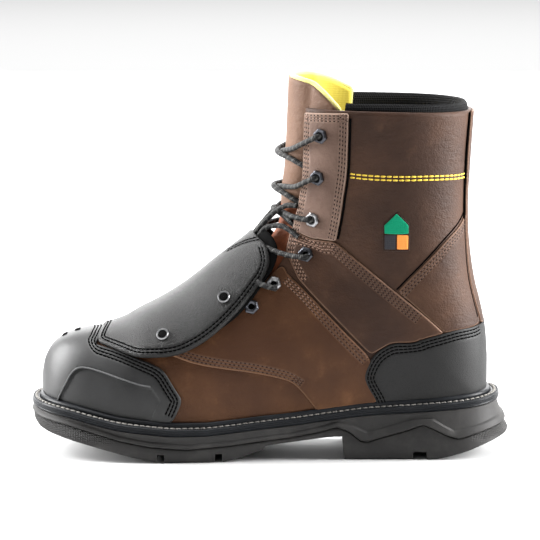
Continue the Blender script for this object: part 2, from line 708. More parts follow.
class Finish:
    """A material with a Principled shader, and short ways to add the nodes that feed it."""

    def __init__(self, name, roughness=0.5, metallic=0.0, **fixed):
        self.material = bpy.data.materials.new(name)
        self.material.use_nodes = True
        self.tree = self.material.node_tree
        self.shader = self.tree.nodes["Principled BSDF"]
        self.set("Roughness", roughness)
        self.set("Metallic", metallic)
        for socket, value in fixed.items():
            self.set(socket.replace("_", " "), value)

    def set(self, socket, value):
        target = self.shader.inputs[socket]
        if isinstance(value, Wire):
            self.tree.links.new(value.socket, target)
        elif isinstance(value, tuple) and len(value) == 3:
            target.default_value = (*value, 1.0)
        else:
            target.default_value = value

    def node(self, kind, settings=None, *values, inputs=None, output=0):
        node = self.tree.nodes.new(kind)
        for key, value in (settings or {}).items():
            setattr(node, key, value)
        for key, value in [*enumerate(values), *(inputs or {}).items()]:
            if isinstance(value, Wire):
                self.tree.links.new(value.socket, node.inputs[key])
            elif isinstance(value, tuple) and len(value) == 3 and node.inputs[key].type == "RGBA":
                node.inputs[key].default_value = (*value, 1.0)
            else:
                node.inputs[key].default_value = value
        return Wire(self, node.outputs[output])

    def place(self, stretch=None):
        where = self.node("ShaderNodeTexCoord", output="Object")
        if stretch:
            where = self.node("ShaderNodeMapping", None, inputs={"Vector": where, "Scale": stretch})
        return where

    def noise(self, where, scale, detail, roughness):
        values = {"Vector": where, "Scale": scale, "Detail": detail, "Roughness": roughness}
        return self.node("ShaderNodeTexNoise", None, inputs=values)

    def cells(self, where, scale):
        return self.node("ShaderNodeTexVoronoi", None, inputs={"Vector": where, "Scale": scale}, output="Distance")

    def axes(self, where):
        return [self.node("ShaderNodeSeparateXYZ", None, where, output=axis) for axis in range(3)]

    def noted(self, name):
        return self.node("ShaderNodeAttribute", {"attribute_name": name}, output="Fac")

    def mix(self, share, first, second):
        return self.node("ShaderNodeMix", {"data_type": "RGBA"}, inputs={0: share, 6: first, 7: second}, output=2)

    def bump(self, *layers):
        """Layers of height, each a value and its depth in metres, one over the other."""
        normal = None
        for height, depth in layers:
            inputs = {"Height": height, "Distance": depth, "Strength": 1.0}
            if normal:
                inputs["Normal"] = normal
            normal = self.node("ShaderNodeBump", None, inputs=inputs)
        self.set("Normal", normal)


def oiled_leather(name, deep, body, light, rim):
    """Oiled pull-up leather: mottled, lighter where it is stretched, with raw cut edges."""
    leather = Finish(name, Specular_IOR_Level=0.22)
    place = leather.place()
    cloudy = leather.noise(place, 17.0, 5.0, 0.58)
    patchy = leather.noise(place, 70.0, 5.0, 0.6)
    pores = leather.cells(place, 950.0)
    grain = leather.noise(place, 420.0, 5.0, 0.65)
    creases = leather.noise(leather.place((1.0, 1.0, 2.2)), 120.0, 4.0, 0.6)
    colour = leather.mix(cloudy.between(0.34, 0.68), deep, body)
    colour = leather.mix(patchy.between(0.56, 0.85) * 0.35, colour, light)
    colour = leather.mix(grain.between(0.45, 0.75) * 0.25, colour, deep)
    to_edge, to_seam = leather.noted("edge"), leather.noted("seam")
    worn = (1 - to_edge.between(0.03, 0.13)) * (0.35 + 0.65 * grain)
    colour = leather.mix(worn * 0.8, colour, rim)
    beside_seam = 1 - to_seam.between(0.06, 0.16)
    colour = leather.mix(beside_seam * 0.16, colour, rim)
    colour = leather.mix(1 - to_seam.between(0.030, 0.055), colour, (0.010, 0.0035, 0.002))
    leather.set("Base Color", colour)
    leather.set("Roughness", (0.44 + 0.22 * cloudy + 0.10 * grain).clipped())
    leather.bump((creases, 0.0005), (grain, 0.00028), (pores, 0.00010))
    return leather.material


def pebbled_leather(name, colour, light, scale, depth, roughness):
    """Coated black leather with a pebbled grain."""
    leather = Finish(name, Specular_IOR_Level=0.30)
    place = leather.place()
    pebbles = leather.cells(place, scale)
    small = leather.noise(place, scale * 1.6, 3.0, 0.6)
    cloudy = leather.noise(place, 45.0, 3.0, 0.5)
    worn = 1 - leather.noted("edge").between(0.03, 0.16)
    shade = leather.mix((pebbles * 0.9).clipped(), light, colour)
    shade = leather.mix(worn * 0.35, shade, light)
    shade = leather.mix(1 - leather.noted("seam").between(0.025, 0.05), shade, SHADOW)
    leather.set("Base Color", shade)
    leather.set("Roughness", (roughness + 0.16 * cloudy + 0.12 * pebbles).clipped())
    leather.bump((pebbles, -depth), (small, depth * 0.6))
    return leather.material


def moulded_rubber(name, colour, light, roughness, depth=0.00010, scale=700.0, seams=False, gloss=0.42):
    """Smooth rubber with a fine matt skin, black in its grooves where it has seams."""
    rubber = Finish(name, Specular_IOR_Level=gloss)
    place = rubber.place()
    fine = rubber.noise(place, scale, 4.0, 0.7)
    cloudy = rubber.noise(place, 40.0, 4.0, 0.6)
    shade = rubber.mix(cloudy.between(0.35, 0.7), colour, light)
    if seams:
        shade = rubber.mix(1 - rubber.noted("seam").between(0.030, 0.055), shade, SHADOW)
    rubber.set("Base Color", shade)
    rubber.set("Roughness", (roughness + 0.14 * fine + 0.08 * cloudy).clipped())
    rubber.bump((fine, depth))
    return rubber.material


def knurled_rubber(name, colour, light, roughness):
    """Sole rubber with a fine diamond knurl where the piece's "knurl" value is high."""
    rubber = Finish(name, Specular_IOR_Level=0.32)
    place = rubber.place()
    across, upwards, _ = rubber.axes(rubber.node("ShaderNodeUVMap", {"uv_map": "round"}))
    rising, falling = ((across + upwards) * KNURL).wave(), ((across - upwards) * KNURL).wave()
    knurl = rising * falling * rubber.noted("knurl")
    fine = rubber.noise(place, 800.0, 4.0, 0.7)
    dusty = rubber.noise(place, 55.0, 5.0, 0.65)
    rubber.set("Base Color", rubber.mix(dusty.between(0.4, 0.75), colour, light))
    rubber.set("Roughness", (roughness + 0.15 * dusty).clipped())
    rubber.bump((fine, 0.00012), (knurl, 0.00035))
    return rubber.material


def thread(name, colour, light, gloss=0.4, low=None):
    """Twisted thread, with another colour on the rear and lower seams where one is given."""
    cord = Finish(name, 0.7, Specular_IOR_Level=gloss)
    twist = cord.noise(cord.place(), 1500.0, 2.0, 0.5)
    shade = cord.mix(twist.between(0.35, 0.65), colour, light)
    if low:
        x, _, z = cord.axes(cord.place())
        share = (x.between(0.022, 0.060) + (1 - z.between(0.070, 0.120))).clipped() * 0.85
        shade = cord.mix(share, shade, low)
    cord.set("Base Color", shade)
    cord.bump((twist, 0.0001))
    return cord.material


def metal(name, colour, roughness):
    """Plated metal with faint marks."""
    plated = Finish(name, roughness, 1.0)
    place = plated.place()
    marks = plated.noise(place, 900.0, 4.0, 0.6)
    plated.set("Base Color", plated.mix(marks.between(0.3, 0.8), colour, tuple(0.7 * c for c in colour)))
    plated.set("Roughness", (roughness + 0.15 * marks).clipped())
    plated.bump((marks, 0.00003))
    return plated.material


def woven(name, colour, light, scale, depth, sheen=0.25):
    """Cloth with a fine diamond weave in object space."""
    cloth = Finish(name, 0.85, Sheen_Weight=sheen, Specular_IOR_Level=sheen)
    place = cloth.place()
    x, y, z = cloth.axes(place)
    weave = ((x + y + z) * scale).wave() * ((x + y - z) * scale).wave() * 0.5 + 0.5
    fibres = cloth.noise(place, 1200.0, 3.0, 0.6)
    cloth.set("Base Color", cloth.mix((weave * 0.6 + fibres * 0.4).clipped(), colour, light))
    cloth.bump((weave, depth), (fibres, depth * 0.5))
    return cloth.material


def braided_cord(name):
    """Round braided cord: two crossing sets of strands, black with a grey fleck."""
    cord = Finish(name, 0.62, Specular_IOR_Level=0.3)
    along, around, _ = cord.axes(cord.node("ShaderNodeUVMap", {"uv_map": "round"}))
    lay, turn = along * BRAID, around * (2 * math.tau)
    braid = (lay + turn).wave() * (lay - turn).wave() * 0.5 + 0.5
    fleck = (lay * 0.5 + turn * 0.5).wave()
    share = fleck.between(0.5, 0.95) * 0.7
    cord.set("Base Color", cord.mix(share, (0.005, 0.005, 0.005), (0.085, 0.085, 0.080)))
    cord.bump((braid, 0.0003))
    return cord.material


BROWN = oiled_leather("oiled_brown_leather", (0.030, 0.0125, 0.0065), (0.062, 0.028, 0.0145),
                      (0.125, 0.060, 0.031), (0.22, 0.125, 0.08))
WARM = oiled_leather("warm_brown_leather", (0.050, 0.0185, 0.0065), (0.088, 0.036, 0.0135),
                     (0.23, 0.105, 0.043), (0.25, 0.13, 0.072))
LIGHT_BROWN = oiled_leather("facing_leather_finish", (0.088, 0.050, 0.036), (0.155, 0.097, 0.073),
                            (0.23, 0.15, 0.118), (0.36, 0.25, 0.19))
TAN = oiled_leather("tongue_leather_finish", (0.112, 0.059, 0.036), (0.17, 0.095, 0.060),
                    (0.26, 0.15, 0.095), (0.30, 0.18, 0.115))
SUEDE = oiled_leather("rust_suede", (0.15, 0.040, 0.015), (0.23, 0.066, 0.025), (0.30, 0.10, 0.04),
                      (0.24, 0.09, 0.04))
CAP = moulded_rubber("cap_rubber_finish", (0.011, 0.0112, 0.0115), (0.018, 0.0182, 0.0185), 0.38,
                     seams=True)
BEAD = moulded_rubber("cap_bead_finish", (0.075, 0.077, 0.078), (0.10, 0.10, 0.103), 0.4)
GUARD = pebbled_leather("guard_leather", (0.005, 0.005, 0.0049), (0.013, 0.0127, 0.0124), 1300.0, 0.00032,
                        0.33)
COUNTER = pebbled_leather("counter_leather", (0.006, 0.006, 0.006), (0.012, 0.012, 0.012), 1900.0, 0.00010,
                          0.42)
FOAM = moulded_rubber("foam_edge", (0.003, 0.003, 0.003), (0.005, 0.005, 0.005), 0.9, 0.0003, 500.0,
                      gloss=0.06)
WELT = moulded_rubber("welt_finish", (0.005, 0.006, 0.008), (0.010, 0.0115, 0.014), 0.34, gloss=0.22)
SOLE = knurled_rubber("sole_finish", (0.022, 0.021, 0.0205), (0.040, 0.038, 0.0365), 0.55)
STITCH_BROWN = thread("brown_thread", (0.17, 0.092, 0.062), (0.36, 0.225, 0.165),
                      low=(0.055, 0.026, 0.017))
STITCH_BLACK = thread("black_thread", (0.0015, 0.0015, 0.0015), (0.003, 0.003, 0.003), 0.0)
STITCH_YELLOW = thread("yellow_thread", (0.66, 0.42, 0.03), (0.88, 0.66, 0.08))
STITCH_PALE = thread("welt_thread", (0.09, 0.085, 0.08), (0.26, 0.245, 0.22))
GUNMETAL = metal("gunmetal_finish", (0.085, 0.088, 0.10), 0.30)
SILVER = metal("bright_finish", (0.40, 0.40, 0.41), 0.25)
YELLOW = woven("yellow_cloth", (0.44, 0.35, 0.030), (0.53, 0.43, 0.050), 2600.0, 0.0001)
PIPING = woven("pale_yellow_piping", (0.62, 0.56, 0.15), (0.72, 0.66, 0.25), 2600.0, 0.0001)
MESH_LINING = woven("mesh_lining", (0.003, 0.003, 0.0033), (0.014, 0.014, 0.0145), 2100.0, 0.0005, 0.05)
INSOLE = woven("insole_cover", (0.03, 0.03, 0.03), (0.06, 0.06, 0.06), 1500.0, 0.0003)
CORD = braided_cord("lace_finish")

# The upper

THROAT_LINE = np.array(THROAT, float) * MM


def throat_step(u):
    """How far round fan line u the throat's edge lies, or 0 on the closed vamp."""
    (x0, z0), (x1, z1) = fan_line(u)
    found = 0.0
    for (ax, az), (bx, bz) in zip(THROAT_LINE, THROAT_LINE[1:]):
        cross = (x1 - x0) * (bz - az) - (z1 - z0) * (bx - ax)
        if abs(cross) > 1e-12:
            t = ((ax - x0) * (bz - az) - (az - z0) * (bx - ax)) / cross
            share = ((ax - x0) * (z1 - z0) - (az - z0) * (x1 - x0)) / cross
            if 0 <= share <= 1 and 0 <= t <= 0.7:
                found = max(found, float(t))
    steps = np.linspace(0, 1, 401)
    return float(np.interp(found, share_of_line(u, steps), steps)) if found else 0.0


def make_upper():
    rows = np.unique(np.concatenate((np.linspace(0, 23, 185), (10.02,))))
    shares = np.linspace(0, 1, 61)
    starts = np.array([throat_step(u) for u in rows])
    halves = []
    for side in (OUTER, INNER):
        steps = side * (starts[:, None] + (1 - starts[:, None]) * shares)
        halves.append(lifted(rows[:, None] + 0 * steps, steps, 0.0))
    grid = np.concatenate((halves[0][:, ::-1], halves[1]), axis=1)
    width = grid.shape[1]
    faces = []
    for i in range(len(rows) - 1):
        for j in range(width - 1):
            if j != len(shares) - 1:
                a = i * width + j
                faces.append([a, a + width, a + width + 1, a + 1])
    mesh = mesh_of(grid.reshape(-1, 3), faces, BROWN, WARM, MESH_LINING, MESH_LINING)
    for face in mesh.polygons:
        face.material_index = int(face.center.x + 0.4 * face.center.z < 0.052)
    work = bmesh.new()
    work.from_mesh(mesh)
    bmesh.ops.remove_doubles(work, verts=work.verts, dist=4e-6)
    bmesh.ops.recalc_face_normals(work, faces=work.faces)
    work.to_mesh(mesh)
    work.free()
    note_unworn(mesh)
    piece = finished("upper_shell", mesh, ["upper"])
    return thickened(piece, WALL, 2)


def junction(start, end, count=12, above=7.6):
    """Places along the line where the panels go down behind the welt."""
    x = np.linspace(start, end, count) * MM
    return [(float(a) / MM, float(welt_underside(a)) / MM + above, 1.0) for a in x]


CAP_EDGE = ((-115.6, 75, 2.0), (-96.8, 71.1), (-83.5, 66.7), (-70.1, 61.3, 7), (-64, 51), (-57.6, 41, 4),
            (-60, 34.5), (-63, 28))
TOE_END = [(-149.9 + 0.45 * k, z, 1.0) for k, z in ((12, 37.4), (6, 37.8), (2, 38.0))]
cap_table = [(-112.5, 79.6, 2.0), *CAP_EDGE, *junction(-66, -136, 16), *TOE_END]
CAP_RIDGE_BACK = float(np.interp(0.0382, front_z(FLAT_U[:40]), FLAT_U[:40]))
cap_line = over_path(cap_table, 6.03, CAP_RIDGE_BACK, CAP_RUBBER)

VAMP = [(-100, 72.7), (-83, 70.5), (-70, 71), (-61.1, 68, 8), (-49.4, 64.2), (-28.9, 60.6), (-8.5, 58),
        (10.9, 54.3, 12), (19.7, 47.5, 8), (29, 35, 2), *junction(30.5, 70, 8), (67, 56, 10), (66, 68, 8),
        (43.3, 91.0), (21.9, 113.5), (12, 121), (9, 127, 3), (4, 124), (-4, 116), (-14, 108.8), (-23, 109),
        (-29, 116)]
vamp_line = over_path(VAMP, 6.4, 9.95)
GUARD_EDGE = ((-114.4, 78.0, 2), (-112, 76.4, 2), (-98.2, 72.2), (-85.2, 69.2), (-65.4, 70.3), (-52.3, 74.8),
              (-39.3, 82.4), (-26.2, 93.7), (-16.4, 104.3), (-7.9, 115.6), (-2.2, 125), (-0.4, 133), (-3.5, 142, 6))


def guard_lift(base):
    return GUARD_LOW + (GUARD_HIGH - GUARD_LOW) * smooth((base[:, 0] + 0.113) / 0.034)


guard_line = over_path(GUARD_EDGE, 6.1, 11.3, guard_lift)
PAD_EDGE = ((-90, 78), (-85.2, 76.2), (-65.4, 76.3), (-53.0, 78.6), (-39.2, 83.6), (-24.4, 92.6),
            (-13.0, 104.8), (-4.6, 116.6), (1.6, 125.5), (4.5, 134), (4, 142), (-2, 149, 5))
pad_line = over_path(PAD_EDGE, 7.3, 11.9, PAD_HIGH)


def both_sides(table):
    return [side_path(table, side) for side, _ in SIDES]


QUARTER = [(13.6, 148.7, 1), (10.6, 137.5), (12.3, 131.8), (16, 124.4), (18.7, 118.7), (21.9, 115.4, 4),
           (43.7, 93.1), (66, 70.2, 4), (70, 71.8), (77.4, 76.6), (83.2, 78.2), (100.8, 81.0), (114, 84.2, 2),
           (101, 96.7), (83.6, 110.7), (43.2, 144.4, 4), (19.1, 149.0, 1)]
FACING = [(14.2, 149.1, 1), (19.1, 149.3), (43.4, 144.9, 3), (47.8, 174.2), (50.4, 193.4), (51.2, 225.7),
          (51.2, 230, 2), (23.6, 229.0, 1.5), (23.2, 223.3), (22.7, 202.2), (22.2, 187.2), (20.4, 174.1),
          (18.3, 163.2)]


def heel_back(low, high, count=24):
    """Places up the middle of the heel's back."""
    z = np.linspace(low, high, count) * MM
    return [(float(back_line(a)) / MM, float(a) / MM, 1.0) for a in z]


REAR_QUARTER = [(83.8, 112.2, 3), (101, 96.9), (114.2, 84.4, 2), (124.5, 86.0), (138.3, 88.5, 2),
                (134.3, 103.5), (130.4, 123.5), (128.7, 146.6), (128.6, 160.6, 2), (117.4, 148.5),
                (106.2, 136.4), (95.0, 124.3)]
BACKSTAY = [(138.6, 88.0, 1), *heel_back(86, 228.5, 60), (131.2, 228.8, 1), (129.8, 210), (128.6, 186.9),
            (128.4, 146.6), (130, 123.5), (134, 103.5)]
COUNTER_EDGE = [(137, 87.8), (124.5, 86.4), (115.6, 84.5), (100.8, 80.7), (83.2, 77.9), (77.4, 76.1),
           (70, 71.3, 4), (65.5, 66), (61.1, 56), (64, 48), (69, 40, 3), (71.5, 33, 1),
           *junction(74, 141.5, 14, 7.6), *heel_back(43.2, 88.6, 26)]


def seams(rows, width=0.55, depth=0.35):
    return [Groove(row, width * MM, depth * MM) for row in rows]


cap_rows = rows_inside(ridge_path([(-112.5, 79.6, 2.0), *CAP_EDGE], 6.03, CAP_RUBBER), (2.2, 4.3, 6.4), cap_line)
guard_rows = rows_inside(ridge_path(GUARD_EDGE, 6.1, guard_lift), (2.6, 4.6), guard_line)
vamp_rows = rows_inside(ridge_path(VAMP[:9], 6.4), (1.7, 3.6, 5.5), vamp_line)
CAP_RECESS = [(-139.6, 34.5, 1), (-134.2, 46), (-129.0, 56.6, 3), (-124.4, 59.4, 3), (-101, 54.8), (-78, 49.6, 3),
              (-71.4, 40.3, 3), (-78.7, 27.5, 1), *junction(-84, -134, 10, 7.0)]
recesses = [(side_path(CAP_RECESS, side), 0.0007) for side in (OUTER, INNER)]

make_upper()
panel("toe_cap_shell", [cap_line], CAP_RUBBER, 0.0022, CAP, ["toe_cap"], cell=0.0016,
      grooves=[seams(cap_rows, 0.7, 0.6)], recesses=[recesses])
upper_rows = []
for side, _ in SIDES:
    top_seam = side_path([(-24, 127.0), (-12.7, 134.0), (-2.0, 139.0)], side, False)
    guard_rows += [top_seam, *rows_inside(top_seam, (1.9,), guard_line)]
for first, last in ((3.94, 4.24), (4.62, 4.88)):
    start, end = to_flat(first, 0)[0][0], to_flat(last, 0)[0][0]
    block = drawn([(start, -0.0035, 3e-4), (end, -0.0035, 3e-4), (end, 0.0035, 3e-4), (start, 0.0035, 3e-4)])
    panel(f"toe_block_{'front' if first < 4 else 'rear'}", [block], CAP_RUBBER + 0.0006, 0.0010, FOAM,
          edge=0.0004, cell=0.0012)
beads = [tube(flat_points(side_path(CAP_RECESS[:6], side, False), CAP_RUBBER + 0.0003), 0.00052, 8)
         for side, _ in SIDES]
finished("cap_beads", mesh_of(*joined(beads), BEAD), angle=60)
vamp_seams = list(vamp_rows)
for side, side_name in SIDES:
    seam = side_path([(66, 68), (43.3, 91.0), (21.9, 113.5), (12, 121)], side, False)
    vamp_seams += rows_inside(seam, (1.7, 3.6, 5.5), vamp_line)
panel("vamp_leather", [vamp_line], OVERLAY, 0.0016, WARM, ["vamp"],
      grooves=[seams(vamp_seams)])
panel("guard_shell", [guard_line], guard_lift, GUARD_THICK, GUARD, ["metatarsal_guard"],
      edge=0.0022, grooves=[seams(guard_rows, 0.8, 0.45)])
guard_pad = panel("guard_pad", [pad_line], PAD_HIGH, PAD_HIGH - PAD_LOW, FOAM, ["guard_padding"],
                  edge=0.0016)
upper_rows += [(row, OVERLAY) for row in vamp_seams]
black_rows = [(row, CAP_RUBBER) for row in cap_rows] + [(row, guard_lift) for row in guard_rows]
for side, side_name in SIDES:
    line = side_path(QUARTER, side)
    rows = rows_inside(side_path(QUARTER[-4:], side, False), (1.7, 3.6, 5.5, 7.4), line)
    rows += rows_inside(side_path(QUARTER[:6], side, False), (1.7, 3.6, 5.5), line)
    rows += rows_inside(side_path([(19.1, 149), (43.2, 144.4)], side, False), (1.7, 3.6, 5.5), line)
    panel(f"quarter_leather_{side_name}", [line], OVERLAY, 0.0016, BROWN,
          [f"quarter_{side_name}"], grooves=[seams(rows)])
    upper_rows += [(row, OVERLAY) for row in rows]
    line = side_path(FACING, side)
    rows = []
    for part in (FACING[2:7], FACING[6:8], FACING[7:] + FACING[:1]):
        rows += rows_inside(side_path(part, side, False), (1.6, 3.4, 5.2), line)
    panel(f"facing_leather_{side_name}", [line], OVERLAY, 0.0016, LIGHT_BROWN,
          [f"facing_{side_name}"], grooves=[seams(rows)])
    upper_rows += [(row, OVERLAY) for row in rows]
    line = side_path(REAR_QUARTER, side)
    rows = rows_inside(side_path(REAR_QUARTER[-4:] + REAR_QUARTER[:1], side, False), (1.7, 3.6, 5.5), line)
    panel(f"rear_quarter_{side_name}", [line], 0.0011, 0.0010, BROWN, grooves=[seams(rows)])
    upper_rows += [(row, 0.0011) for row in rows]
panel("backstay_leather", both_sides(BACKSTAY), OVERLAY, 0.0016, BROWN, ["backstay"])
counter_lines, counter_rows = both_sides(COUNTER_EDGE), []
for line, (side, _) in zip(counter_lines, SIDES):
    counter_rows.append(rows_inside(side_path(COUNTER_EDGE[:12], side, False), (1.9, 4.0, 6.1), line))
panel("heel_counter_leather", counter_lines, COUNTER_LEATHER, 0.0019, COUNTER,
      ["heel_counter"], grooves=[seams(rows) for rows in counter_rows])
black_rows += [(row, COUNTER_LEATHER) for rows in counter_rows for row in rows]


TONGUE_ROWS, TONGUE_SHARES = np.linspace(9.9, 23.9, 100), np.linspace(-1, 1, 49)
TONGUE_STEPS = np.array([throat_step(min(u, COLLAR)) + 0.12 + 0.10 * float(smooth((u - 19.5) / 3))
                         for u in TONGUE_ROWS])[:, None] * TONGUE_SHARES * np.where(TONGUE_SHARES < 0, 0.84, 1)


def tongue_grid(low):
    u = TONGUE_ROWS[:, None] + 0 * TONGUE_STEPS
    drop = np.where(TONGUE_SHARES < 0, 0.98 * np.abs(TONGUE_SHARES) ** 2.5, 0.62 * np.abs(TONGUE_SHARES) ** 2.6)
    tops = u - drop * smooth((u - 22) / 2)
    bulge = 0.0085 * smooth((u - 11.5) / 6.5) * np.maximum(1 - (TONGUE_STEPS / 0.155) ** 2, 0)
    return lifted(tops, TONGUE_STEPS, -WALL - 0.0016 - low + bulge)


def make_tongue(name, first, low, thick, materials, nodes):
    grid = tongue_grid(low)[first:]
    size = len(TONGUE_SHARES)
    faces = [[i * size + j, (i + 1) * size + j, (i + 1) * size + j + 1, i * size + j + 1]
             for i in range(len(grid) - 1) for j in range(size - 1)]
    mesh = mesh_of(grid.reshape(-1, 3), faces, *materials)
    if len(materials) > 1:
        for face in mesh.polygons:
            face.material_index = int(face.center.z < 0.166)
    note_unworn(mesh)
    return thickened(finished(name, mesh, nodes), thick)


make_tongue("tongue_leather", 0, 0.0, 0.0029, (TAN, SUEDE), ["tongue"])
make_tongue("tongue_cloth", 8, 0.0032, 0.0018, (YELLOW,), ["tongue_lining"])
rim_line = tongue_grid(0.0024)
rim_line = np.vstack((rim_line[-9:, 0], rim_line[-1], rim_line[-9:, -1][::-1]))
points, faces = tube(smooth_route(resampled(rim_line, 0.004), 0.0015), 0.0017, 12)
finished("tongue_piping", mesh_of(points + (0, 0, 0.0008), faces, PIPING))

# The sole


def sole_edge(x, side, outset):
    """Points of the sole's outline in plan, moved out square to it."""
    def line(x):
        width = sole_half(x) * dome((x - SOLE_TOE) / 0.064, 2.4) * dome((SOLE_HEEL - x) / 0.042, 2.3)
        return np.stack((x, swing(x) + side * width), -1)
    ahead, behind = line(np.minimum(x + 4e-4, SOLE_HEEL)), line(np.maximum(x - 4e-4, SOLE_TOE))
    run = ahead - behind
    outwards = np.stack((run[:, 1], -run[:, 0]), -1) * -side
    outwards[x >= SOLE_HEEL] = (1, 0)
    outwards[x <= SOLE_TOE] = (-1, 0)
    outwards /= np.linalg.norm(outwards, axis=1, keepdims=True)
    return line(x) + outwards * np.broadcast_to(outset, x.shape)[:, None]


TURN = np.linspace(0, math.pi / 2, 25)
SOLE_X = np.unique(np.concatenate((
    SOLE_TOE + 0.064 * (1 - np.cos(TURN)), SOLE_HEEL - 0.042 * (1 - np.cos(TURN)),
    np.arange(-0.094, 0.111, 0.0022), (-0.004, -0.003, 0.0476, 0.049, 0.107))).round(6))


def sole_ring(height, outset):
    """A closed ring round the sole from heights and outsets along it."""
    height, outset = np.broadcast_to(height, SOLE_X.shape), np.broadcast_to(outset, SOLE_X.shape)
    sides = [np.column_stack((sole_edge(SOLE_X, side, outset), height)) for side in (OUTER, INNER)]
    return np.vstack((sides[0], sides[1][::-1]))


def sole_piece(name, rings, material, nodes, knurled=None):
    points, faces = lofted(rings, (0, len(rings) - 1))
    mesh = mesh_of(points, faces, material)
    run = np.concatenate(([0], np.cumsum(np.linalg.norm(np.diff(rings[0][:, :2], axis=0), axis=1))))
    size = len(rings[0])
    wrap_map(mesh, lambda corners: (run[corners % size], points[corners, 2]))
    note_values(mesh, knurl=knurled(points) if knurled else np.zeros(len(points)))
    return outwards(finished(name, mesh, nodes, 32))


def knurled_ends(points):
    toe = 1.5 * smooth((-0.094 - points[:, 0]) / 0.025) * smooth((points[:, 2] - 0.011) / 0.002)
    heel = smooth((points[:, 0] - 0.1325) / 0.003) * smooth((points[:, 2] - 0.012) / 0.002)
    return toe + heel


flare = heel_flare(SOLE_X)
ground, rib_foot, rib_top = (straight(table, SOLE_X) for table in (GROUND, OUTSOLE_TOP, SIDE_RIB_TOP))
under_welt = welt_underside(SOLE_X)
middle = ground * 0.45 + rib_foot * 0.55
outsole = sole_piece("outsole_rubber", [
    sole_ring(ground, flare - 0.0020), sole_ring(ground + 0.0004, flare - 0.0012),
    sole_ring(ground + 0.0013, 0.98 * flare - 0.0007), sole_ring(middle, 0.8 * flare - 0.0006),
    sole_ring(rib_foot - 0.0012, 0.62 * flare - 0.0006), sole_ring(rib_foot - 0.0005, 0.62 * flare - 0.0009),
    sole_ring(rib_foot, 0.60 * flare - 0.0016)], SOLE, ["outsole"], knurled_ends)
points, faces = [], []
for x, width, height, half_length in GROOVES:
    low = float(straight(GROUND, x * MM))
    for start, end in (((-70, -22), (22, 70)) if half_length == 70 else ((-half_length, half_length),)):
        corners = [(x * MM + a * width / 2 * MM * (1.0 if top else 1.25), b * MM,
                    low + (height * MM if top else -0.012)) for top in (0, 1) for b in (start, end)
                   for a in (-1, 1)]
        faces += [[len(points) + k for k in face] for face in
                  ((0, 2, 3, 1), (4, 5, 7, 6), (0, 1, 5, 4), (2, 6, 7, 3), (0, 4, 6, 2), (1, 3, 7, 5))]
        points += corners
cutter = bpy.data.objects.new("tread_cutter", mesh_of(points, faces, SOLE))
bpy.context.scene.collection.objects.link(cutter)
cut = outsole.modifiers.new("tread", "BOOLEAN")
cut.operation, cut.solver, cut.object = "DIFFERENCE", "EXACT", cutter
apply_modifiers(outsole)
bpy.data.objects.remove(cutter)
sole_piece("midsole_rubber", [
    sole_ring(rib_foot + GAP, 0.60 * flare - 0.0012), sole_ring(rib_foot + 0.0007, 0.57 * flare + 0.0002),
    sole_ring(rib_foot + 0.0014, 0.55 * flare + 0.0006), sole_ring(rib_top - 0.0005, 0.42 * flare + 0.0003),
    sole_ring(rib_top + 0.0002, 0.40 * flare - 0.0002), sole_ring(rib_top + 0.0009, 0.38 * flare - 0.0012),
    sole_ring((rib_top + under_welt) / 2, 0.15 * flare - 0.0014),
    sole_ring(under_welt - 0.0012, -0.0012), sole_ring(under_welt - GAP, -0.0006)],
    SOLE, ["midsole"])

# The welt

WELT_SHARES = np.unique(np.concatenate((
    0.10 * (1 - np.cos(TURN)), 1 - 0.10 * (1 - np.cos(TURN)), np.linspace(0.1, 0.9, 150))).round(6))


def welt_inside(side, height):
    x = -0.15010 + (0.1424 + 0.15010) * WELT_SHARES
    z = welt_underside(x) + height
    x = np.minimum(x, back_line(z) - 1e-6)
    u, s = locate(x, z)
    places = lifted(u, side * s, 0.0010)
    places[0, 1] = swing(places[0, 0])
    places[-1, 1] = 0
    places[:, 2] = z
    return places


def welt_outside(side, height, outset):
    x = SOLE_TOE + (SOLE_HEEL - SOLE_TOE) * WELT_SHARES
    return np.column_stack((sole_edge(x, side, outset), welt_underside(x) + height))


def welt_ring(share, height, outset=0.0):
    """A ring of the welt between the upper (share 0) and the sole's edge (share 1)."""
    sides = [(1 - share) * welt_inside(side, height) + share * welt_outside(side, height, outset)
             for side in (OUTER, INNER)]
    return np.vstack((sides[0], sides[1][::-1]))


WELT_PROFILE = (
    (0.0, 0.0, 0), (0.9, 0.0, 0), (1.0, 0.1, -0.5), (1.0, 0.5, 0.1), (1.0, 0.9, -0.1), (1.0, 1.1, -0.1),
    (1.0, 1.4, 0.3), (1.0, 1.8, 0.3), (1.0, 2.0, 0.0), (1.0, 2.2, 0.0), (1.0, 2.5, 0.3), (1.0, 2.8, 0.3),
    (1.0, 3.0, 0.0), (1.0, 3.2, 0.0), (1.0, 3.5, 0.2), (1.0, 4.1, 0.1), (1.0, 4.5, -0.4), (0.95, 4.8, 0),
    (0.80, 4.9, 0), (0.77, 4.5, 0), (0.60, 4.4, 0), (0.57, 4.8, 0), (0.46, 4.9, 0), (0.43, 4.4, 0),
    (0.37, 4.0, 0), (0.36, 4.9, 0), (0.39, 5.8, 0), (0.37, 6.7, 0), (0.30, 7.5, 0), (0.20, 8.05, 0),
    (0.09, 8.3, 0), (0.0, 8.2, 0))
rings = [welt_ring(share, height * MM, outset * MM) for share, height, outset in WELT_PROFILE]
points, faces = lofted(rings + [rings[0]])
outwards(finished("welt_strip", mesh_of(points, faces, WELT), ["welt"], 35))

# Stitches


